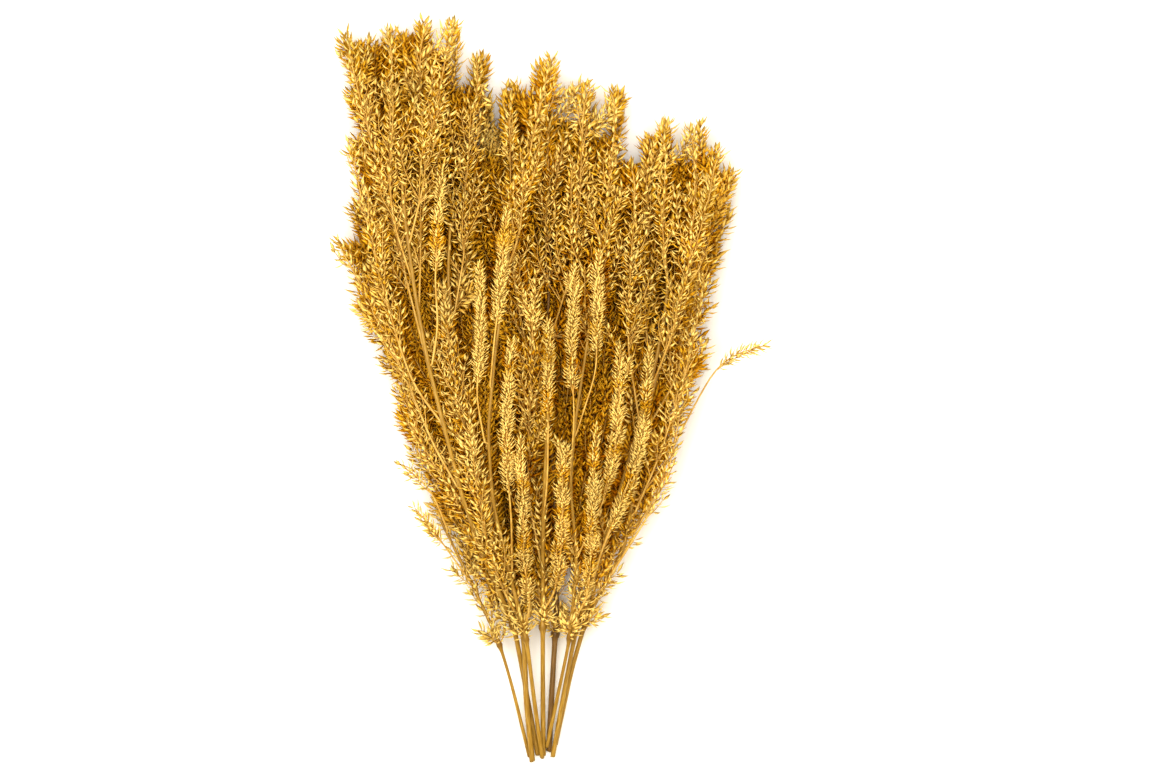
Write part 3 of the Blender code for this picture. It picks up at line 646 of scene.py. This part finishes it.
def spray(node, habit, rng):
    """All the twigs of one branch, from the place on its stalk where it forks off."""
    fill, _, keep = HABITS[habit][:3]
    points, edges, sharp, _ = merged_solid(node)
    start = branch_feet[node]
    far = max(sharp, key=lambda k: np.linalg.norm(points[k] - start))
    shoots = [k for k in sharp if k != far]
    line, radii = middle_line(points, edges, shoots, start, points[far])
    run = run_of(line)
    length = run[-1]
    bare = run[np.argmax(radii > BARE_RADIUS)]
    parent, parent_run, parent_radii = stalks[node.split("_")[1][0]][:3]
    fork = run_at(parent, parent_run, start)
    socket, _ = on_line(parent, parent_run, fork - SOCKET_BELOW)
    twig = np.vstack([socket, line])
    thick = np.interp(fork, parent_run, parent_radii)
    leader = fork > parent_run[-1] - LEADER_ZONE
    twig[-1] -= (twig[-1] - twig[-2]) * TIP_BACK / np.linalg.norm(twig[-1] - twig[-2])
    lines = TwigLines()
    rim_branch = habit in ("open", "full") and not inner[cells(line[-1:])[:2]][0]
    lines.draw(twig, thick * (LEADER_SHARE if leader else TWIG_SHARE), TWIG_TIP,
               min(bare / length + BARE_MORE, BARE_MOST), RIM_TWIG_LEAVES if rim_branch else 1.0)
    crown_clear = RIM_CLEAR if rim_branch else CROWN_CLEAR

    tips = [points[k] for k in shoots]
    tip_run = np.array([run_at(line, run, tip) for tip in tips])
    tip_out = np.array([np.linalg.norm(line - tip, axis=1).min() for tip in tips])
    for _ in range(int(len(shoots) * fill)):
        distance = rng.uniform(bare, length)
        here, along = on_line(line, run, distance)
        side = np.cross(along, rng.normal(size=3))
        side /= np.linalg.norm(side)
        near_it = np.exp(-((tip_run - distance) / FULLNESS_RUN) ** 2) + 1e-6
        fullness = np.average(tip_out, weights=near_it)
        tip = here + side * fullness * rng.uniform(*FILL_OUT) + along * rng.uniform(*FILL_UP) * MM
        beyond = here + (tip - here) * rng.uniform(1.0, MINGLE)
        if habit == "full" and inner[cells(beyond[None])[:2]][0]:
            tip = beyond
            tip[2] = min(tip[2], HIGHEST - TOP_CLEAR)
        tip[2] = max(tip[2], LOWEST_TIP)
        tips.append(tip)
    for tip in tips:
        rim = habit != "lone" and not inner[cells(tip[None])[:2]][0]
        if rim and habit == "full" and rng.uniform() > RIM_SHOOTS:
            continue
        near = np.linalg.norm(line - tip, axis=1).argmin()
        out = np.linalg.norm(line[near] - tip)
        inward = keep * (1 - LEAF_REACH / max(out, LEAF_REACH))
        tip = line[near] + (tip - line[near]) * max(inward, LEAST_REACH)
        if length - run[near] < crown_clear:
            down = on_line(line, run, length)[1] * crown_clear * CLEAR_DOWN
            tip = tip + (line[near] - tip) * CLEAR_IN - down
        angle = math.radians(rng.uniform(*SHOOT_ANGLE))
        back = np.clip(out / math.tan(angle), *SHOOT_RUN)
        foot, along = on_line(line, run, max(run[near] - back, bare * LOWEST_FOOT))
        lines.draw(shoot_line(foot, along, tip, rng), SHOOT_FOOT, SHOOT_TIP, SHOOT_BARE,
                   RIM_LEAVES if rim else 1.0)
    for _ in range(RIM_CROWN_SHOOTS if rim_branch else CROWN_SHOOTS):
        foot, along = on_line(line, run, length - rng.uniform(*CROWN_BELOW))
        side = np.cross(along, rng.normal(size=3))
        side /= np.linalg.norm(side)
        reach = (length - run_at(line, run, foot)) * rng.uniform(*CROWN_REACH)
        tip = foot + (along + side * math.tan(math.radians(rng.uniform(*CROWN_ANGLE)))) * reach
        lines.draw(shoot_line(foot, along, tip, rng), SHOOT_FOOT, SHOOT_TIP, CROWN_BARE,
                   RIM_LEAVES if rim_branch else 1.0)
    return lines, line


twig_material = straw_twig_material()
spray_nodes, spray_inputs = spray_tree()
twig_lines, main_lines, habits = {}, {}, {}
for number, node in enumerate(branch_nodes):
    name = node.split("_")[1]
    habits[node] = next((habit for habit, names in KINDS.items() if name in names), "full")
    twig_lines[node], main_lines[node] = spray(node, habits[node], np.random.default_rng(SEED + number))


# Tufts
# What is left of the lowest side shoots of dried straw: a ruff of dyed leaves on each stalk's first knot, and
# short leafy shoots above it.
TUFT_LENGTH = (9 * MM, 24 * MM)
TUFT_ANGLE = (18, 40)
TUFT_STEP = 7 * MM
TUFT_ZONE = 88 * MM  # short shoots grow this far up from the knot
TUFT_BARE = 0.12  # share of a short shoot before its first leaves
TUFT_FOLIAGE = (2.4 * MM, 0.8, 1.3)  # space between leaf pairs, smallest and largest leaf
TUFT_FIRST, TUFT_LAST = 2 * MM, 20 * MM  # bare length above the knot, and least bare length at the top
TUFT_JITTER = 2  # millimetres up or down
TUFT_LOWEST = 2 * MM

for letter, (line, run, radii, knot_at, leaf_points) in stalks.items():
    rng = np.random.default_rng(SEED + 200 + ord(letter))
    lines = TwigLines()
    knot, along = on_line(line, run, knot_at)
    for tip in leaf_points:
        lines.draw(shoot_line(knot, along, tip, rng), SHOOT_FOOT, SHOOT_TIP, CROWN_BARE)
    highest = min(knot_at + TUFT_ZONE, run[-1] - TUFT_LAST)
    for distance in np.arange(knot_at + TUFT_FIRST, highest, TUFT_STEP):
        foot, along = on_line(line, run, distance + rng.uniform(-TUFT_JITTER, TUFT_JITTER) * MM)
        side = np.cross(along, rng.normal(size=3))
        side /= np.linalg.norm(side)
        reach = rng.uniform(*TUFT_LENGTH)
        tip = foot + (along + side * math.tan(math.radians(rng.uniform(*TUFT_ANGLE)))) * reach
        tip[2] = max(tip[2], TUFT_LOWEST)
        lines.draw(shoot_line(foot, along, tip, rng), SHOOT_FOOT, SHOOT_TIP, TUFT_BARE)
    twig_lines["tuft_" + letter] = lines


# Undergrowth
# Seen from above, a real bunch is closed by the shoots that lie under it. Wherever the foliage is still thin,
# the nearest branch gets one more low shoot. Leaves that lie deep inside, under others, are given painted
# shade, and those outside are painted lighter.
PAIR_COVER = 18e-6  # square metres that a pair of leaves hides from above
LEAST_LAYERS = 4.0  # layers of leaves wanted above each place on the table
AIRY_LAYERS = 0.3  # share of those layers under open branches
LOW_SHOOTS = 1900  # at most
LOW_HEIGHT = (4 * MM, 45 * MM)
LOW_LENGTH = (28 * MM, 50 * MM)
LOW_BEYOND = (8 * MM, 16 * MM)  # how far a low shoot reaches past the thin place
TRIED = 0.5  # layers that a cell counts for each shoot sent there, so that all thin cells get their turn
PAINTED_SHADE_PER_LAYER = 0.55  # share of the painted light that one layer of leaves above takes away, as painted shade
LOW_SHADE, LOW_SHADE_TOP = 0.5, 50 * MM  # extra layers of painted shade that lying low by the table counts for, up to this height
PAINTED_SIDE_LIGHT_CELLS = 4  # painted light also comes in from the side, so painted shade eases over this many cells in from the edge
RIM_CURVE = 1.5  # over 1, the rim stays airy for longer before the bunch grows dense
ENOUGH = 0.1  # a cell that lacks no more layers than this gets no more shoots
NEARNESS = (1, 0.6, 1)  # distance along the bunch counts for less than distance across it


def cover(grid, lines, spacing):
    """Adds the layers of leaves that these lines put into each cell, seen from above."""
    places, weights = lines.leafy_points()
    layers = weights * (COVER_STEP / spacing) * PAIR_COVER / (9 * CELL * CELL)
    for i in (-CELL, 0, CELL):
        for j in (-CELL, 0, CELL):
            np.add.at(grid, cells(places + (i, j, 0)), layers)


def foliage_of(key):
    """Space between the leaf pairs of a branch or tuft, and its smallest and largest leaf."""
    if key not in habits:
        return TUFT_FOLIAGE
    _, spacing, _, smallest, largest = HABITS[habits[key]]
    return spacing, smallest, largest


leafage = np.zeros(GRID_SHAPE)
for key, lines in twig_lines.items():
    cover(leafage, lines, foliage_of(key)[0])
tried = np.zeros(footprint.shape)
wanted = LEAST_LAYERS * (depth_in / RIM_CELLS) ** RIM_CURVE * np.where(airy, AIRY_LAYERS, 1.0)
rng = np.random.default_rng(SEED + 500)
for _ in range(LOW_SHOOTS):
    short = wanted - leafage.sum(axis=2) - tried
    i, j = np.unravel_index(short.argmax(), short.shape)
    if short[i, j] <= ENOUGH:
        break
    tried[i, j] += TRIED
    place = GRID_LOW + (np.array([i, j, 0]) + rng.uniform(0.2, 0.8, 3)) * CELL
    place[2] = rng.uniform(*LOW_HEIGHT)
    far = {n: np.linalg.norm((main_lines[n] - place) * NEARNESS, axis=1).min() for n in branch_nodes}
    node = min(branch_nodes, key=far.get)
    line = main_lines[node]
    run = run_of(line)
    foot, along = on_line(line, run, max(run_at(line, run, place) - rng.uniform(*LOW_LENGTH), 4 * MM))
    tip = place + along * rng.uniform(*LOW_BEYOND)
    if not inner[cells(tip[None])[:2]][0]:
        tip = place
    tip[2] = place[2]
    shoot = TwigLines()
    way = shoot_line(foot, along, tip, rng)
    for lines in (shoot, twig_lines["tuft_" + node.split("_")[1][0]]):
        lines.draw(way, SHOOT_FOOT, SHOOT_TIP, SHOOT_BARE)
    cover(leafage, shoot, TUFT_FOLIAGE[0])

# The layers of leaves above each cell set how much painted shade the leaves in it get.
above = np.cumsum(leafage[:, :, ::-1], axis=2)[:, :, ::-1] - leafage
for number, (key, lines) in enumerate(twig_lines.items()):
    places = np.array(lines.points)
    at = cells(places)
    layers = above[at] + np.where(places[:, 2] < LOW_SHADE_TOP, LOW_SHADE, 0.0)
    # Painted shade: each layer of leaves above, and lying low by the table, darkens a leaf; near the edge less
    # so.
    lines.painted_light_level = list((1 - PAINTED_SHADE_PER_LAYER) ** (layers * np.minimum(depth_in[at[:2]] / PAINTED_SIDE_LIGHT_CELLS, 1)))
    piece = lines.grow(key.replace("branch", "spray"), SEED + number, foliage_of(key))
    if key in habits:
        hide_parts(key)
    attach(piece, "root")


# Studio
# A plain white table under wide, soft light from overhead, as for a catalogue picture, seen straight down
# from far off with a long lens.
TABLE_WHITE = "#F4F4F2"
ROOM_LIGHT, ROOM_STRENGTH = "#FFEDC8", 0.62
floor_mesh = bpy.data.meshes.new("table_top")
floor_mesh.from_pydata([(-4, -4, 0), (4, -4, 0), (4, 4, 0), (-4, 4, 0)], [], [(0, 1, 2, 3)])
floor = bpy.data.objects.new("table_top", floor_mesh)
bpy.context.scene.collection.objects.link(floor)
floor_material, tree, shader = new_material("matt white paint")
place = add(tree, "ShaderNodeTexCoord").outputs["Object"]
grain = add(tree, "ShaderNodeTexNoise", {"Vector": place}, {"Scale": 1 / (2 * MM)})
rough = add(tree, "ShaderNodeMapRange", {"Value": grain.outputs["Fac"]}, {"To Min": 0.85, "To Max": 0.95})
shader.inputs["Base Color"].default_value = linear(TABLE_WHITE)
tree.links.new(rough.outputs["Result"], shader.inputs["Roughness"])
floor_mesh.materials.append(floor_material)

world = bpy.data.worlds.new("studio")
world.use_nodes = True
world.node_tree.nodes["Background"].inputs["Color"].default_value = linear(ROOM_LIGHT)
world.node_tree.nodes["Background"].inputs["Strength"].default_value = ROOM_STRENGTH
bpy.context.scene.world = world

for name, where, size, power in (
    ("overhead light", (-0.12, 0.15, 2.6), 2.2, 92.0),
    ("side light", (-1.6, 0.9, 1.8), 1.2, 6.0),
):
    lamp = bpy.data.lights.new(name, "AREA")
    lamp.shape = "SQUARE"
    lamp.size = size
    lamp.energy = power
    light = bpy.data.objects.new(name, lamp)
    light.location = where
    light.rotation_euler = (Vector((0, 0, 0)) - Vector(where)).to_track_quat("-Z", "Y").to_euler()
    bpy.context.scene.collection.objects.link(light)

FRAME_WIDTH = 1.015  # width of the picture at the bunch's own middle height
MIDDLE_HEIGHT = 0.07
CAMERA_HEIGHT = 12.0
CAMERA_RIGHT = 0.0269  # of the middle of the bunch
SENSOR = 36.0
camera_data = bpy.data.cameras.new("camera")
camera_data.sensor_width = SENSOR
camera_data.lens = SENSOR * (CAMERA_HEIGHT - MIDDLE_HEIGHT) / FRAME_WIDTH
camera_data.clip_start, camera_data.clip_end = 0.1, 50.0
camera = bpy.data.objects.new("camera", camera_data)
camera.location = (CAMERA_RIGHT, 0.0, CAMERA_HEIGHT)
bpy.context.scene.collection.objects.link(camera)
bpy.context.scene.camera = camera
bpy.context.scene.view_settings.view_transform = "Standard"
bpy.context.scene.view_settings.look = "Medium High Contrast"
